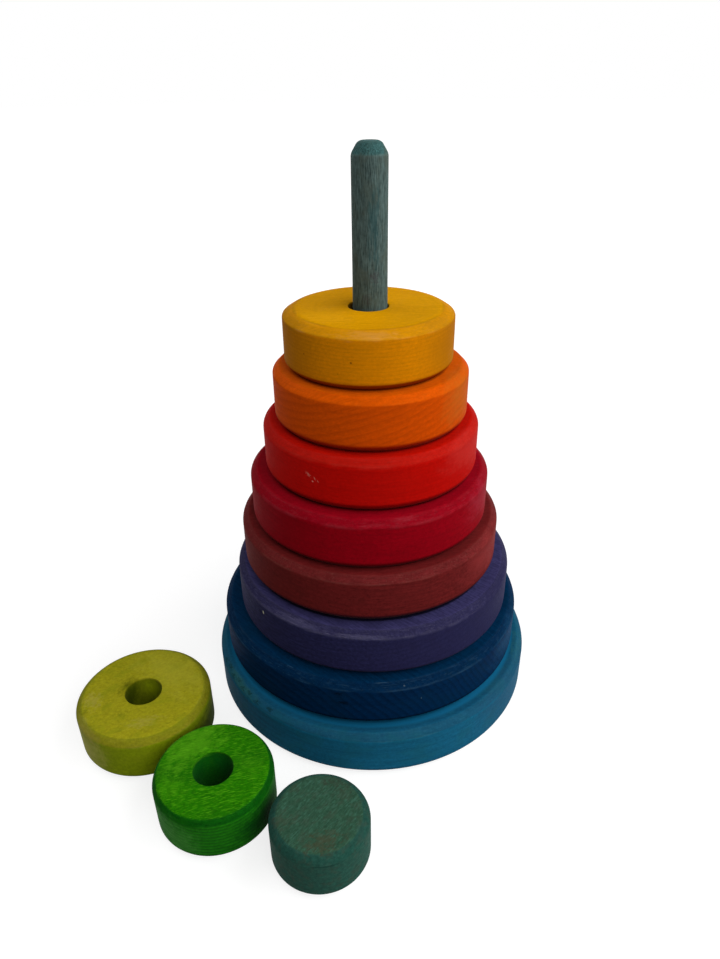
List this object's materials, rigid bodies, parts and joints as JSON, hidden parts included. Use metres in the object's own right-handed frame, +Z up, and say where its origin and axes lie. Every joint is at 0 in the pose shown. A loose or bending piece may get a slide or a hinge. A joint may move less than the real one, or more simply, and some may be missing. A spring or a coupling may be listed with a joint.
{
  "type": "stacking tower",
  "caption": "Wooden stacking tower: bored rainbow discs of falling width stand on a dowel in a base disc, with loose rings and a cap lying beside it.",
  "frame": {"origin": "centre of the base disc's underside, on the dowel's axis", "axes": "+Z up along the dowel; the loose ring pair and the cap lie on the -X and -Y side; the picture looks along +Y"},
  "size_m": [0.1811, 0.1778, 0.2117],
  "materials": {
    "light_blue": "matte water stain, thinly oiled, with the grain showing",
    "teal_grey": "matte water stain, thinly oiled, with the grain showing",
    "dark_blue": "matte water stain, thinly oiled, with the grain showing",
    "purple": "matte water stain, thinly oiled, with the grain showing",
    "maroon": "matte water stain, thinly oiled, with the grain showing",
    "crimson": "matte water stain, thinly oiled, with the grain showing",
    "red": "matte water stain, thinly oiled, with the grain showing",
    "orange": "matte water stain, thinly oiled, with the grain showing",
    "yellow": "matte water stain, thinly oiled, with the grain showing",
    "lime": "matte water stain, thinly oiled, with the grain showing",
    "green": "matte water stain, thinly oiled, with the grain showing",
    "teal": "matte water stain, thinly oiled, with the grain showing"
  },
  "bodies": {
    "base_disc": {"base_disc": "light_blue"},
    "dowel": {"dowel": "teal_grey"},
    "dark_blue_ring": {"dark_blue_ring": "dark_blue"},
    "purple_ring": {"purple_ring": "purple"},
    "maroon_ring": {"maroon_ring": "maroon"},
    "crimson_ring": {"crimson_ring": "crimson"},
    "red_ring": {"red_ring": "red"},
    "orange_ring": {"orange_ring": "orange"},
    "yellow_ring": {"yellow_ring": "yellow"},
    "lime_ring": {"lime_ring": "lime"},
    "green_ring": {"green_ring": "green"},
    "cap": {"cap": "teal"}
  },
  "joints": [
    {"name": "dowel_pull", "type": "slide", "parent": "base_disc", "child": "dowel", "axis": [0, 0, 1], "range_m": [0, 0.165]},
    {"name": "dark_blue_lift", "type": "slide", "parent": "base_disc", "child": "dark_blue_ring", "axis": [0, 0, 1], "range_m": [0, 0.197]},
    {"name": "purple_lift", "type": "slide", "parent": "dark_blue_ring", "child": "purple_ring", "axis": [0, 0, 1], "range_m": [0, 0.177]},
    {"name": "maroon_lift", "type": "slide", "parent": "purple_ring", "child": "maroon_ring", "axis": [0, 0, 1], "range_m": [0, 0.157]},
    {"name": "crimson_lift", "type": "slide", "parent": "maroon_ring", "child": "crimson_ring", "axis": [0, 0, 1], "range_m": [0, 0.137]},
    {"name": "red_lift", "type": "slide", "parent": "crimson_ring", "child": "red_ring", "axis": [0, 0, 1], "range_m": [0, 0.117]},
    {"name": "orange_lift", "type": "slide", "parent": "red_ring", "child": "orange_ring", "axis": [0, 0, 1], "range_m": [0, 0.097]},
    {"name": "yellow_lift", "type": "slide", "parent": "orange_ring", "child": "yellow_ring", "axis": [0, 0, 1], "range_m": [0, 0.077]},
    {"name": "lime_lift", "type": "slide", "parent": "base_disc", "child": "lime_ring", "axis": [0, 0, 1], "range_m": [0, 0.22]},
    {"name": "green_lift", "type": "slide", "parent": "base_disc", "child": "green_ring", "axis": [0, 0, 1], "range_m": [0, 0.22]},
    {"name": "cap_lift", "type": "slide", "parent": "base_disc", "child": "cap", "axis": [0, 0, 1], "range_m": [0, 0.22]}
  ]
}
